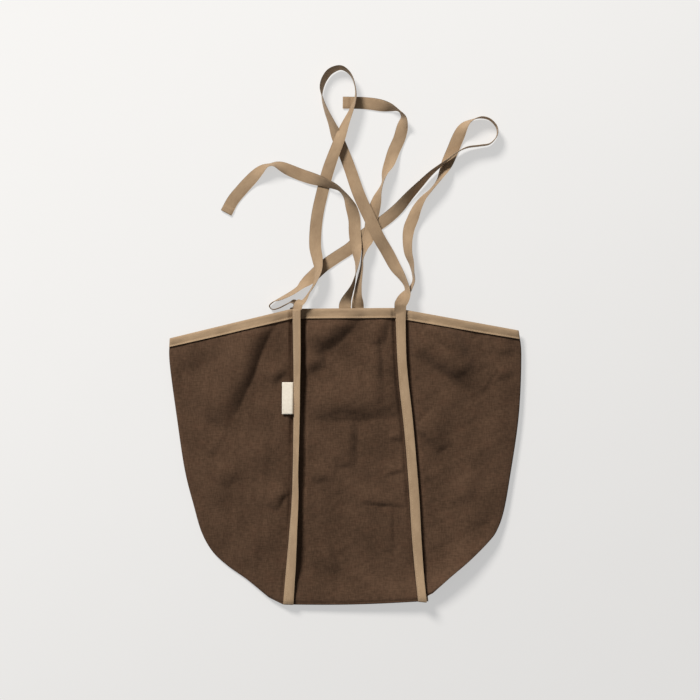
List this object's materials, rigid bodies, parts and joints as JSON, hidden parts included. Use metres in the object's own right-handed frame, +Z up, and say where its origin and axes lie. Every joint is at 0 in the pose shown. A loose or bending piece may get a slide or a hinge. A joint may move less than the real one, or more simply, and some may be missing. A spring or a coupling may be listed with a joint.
{
  "type": "shoulder bag",
  "caption": "Flat-lying dark linen shoulder bag with tape-bound outside seams and mouth, long tape handles, tape closing ties and a blank woven label in the side seam.",
  "frame": {"origin": "on the floor, under the middle of the back centre panel", "axes": "+X across the bag's width, +Y from the bottom towards the mouth and handles, +Z up through the front face"},
  "size_m": [0.466, 0.7134, 0.0252],
  "materials": {
    "linen": "matt plain-weave linen, dark brown",
    "tape": "matt twill tape, tan",
    "label": "smooth woven ribbon, cream, with nothing on it"
  },
  "bodies": {
    "back_wall": {"back_left_side_panel": "linen", "back_center_panel": "linen", "back_right_side_panel": "linen", "back_left_side_mouth_binding": "tape", "back_center_mouth_binding": "tape", "back_right_side_mouth_binding": "tape", "back_left_seam_binding": "tape", "back_right_seam_binding": "tape", "back_tie": "tape"},
    "front_wall": {"front_left_side_panel": "linen", "front_center_panel": "linen", "front_right_side_panel": "linen", "front_left_side_mouth_binding": "tape", "front_center_mouth_binding": "tape", "front_right_side_mouth_binding": "tape", "front_left_seam_binding": "tape", "front_right_seam_binding": "tape", "front_tie": "tape"},
    "front_handle": {"front_handle": "tape"},
    "back_handle": {"back_handle": "tape"},
    "label": {"label": "label"}
  },
  "joints": [
    {"name": "mouth_open", "type": "hinge", "parent": "back_wall", "child": "front_wall", "pos_m": [0, -0.196, 0.0049], "axis": [1, 0, 0], "range_deg": [0, 15]},
    {"name": "front_handle_swing", "type": "hinge", "parent": "front_wall", "child": "front_handle", "pos_m": [0, 0.1955, 0.0204], "axis": [1, 0, 0], "range_deg": [0, 90]},
    {"name": "back_handle_swing", "type": "hinge", "parent": "back_wall", "child": "back_handle", "pos_m": [0, 0.1942, 0.0013], "axis": [1, 0, 0], "range_deg": [0, 90], "deforming": ["back_handle"]},
    {"name": "label_flip", "type": "hinge", "parent": "front_wall", "child": "label", "pos_m": [-0.07336, 0.07726, 0.0145], "axis": [0, 0.9997, 0.0255], "range_deg": [0, 75]}
  ]
}
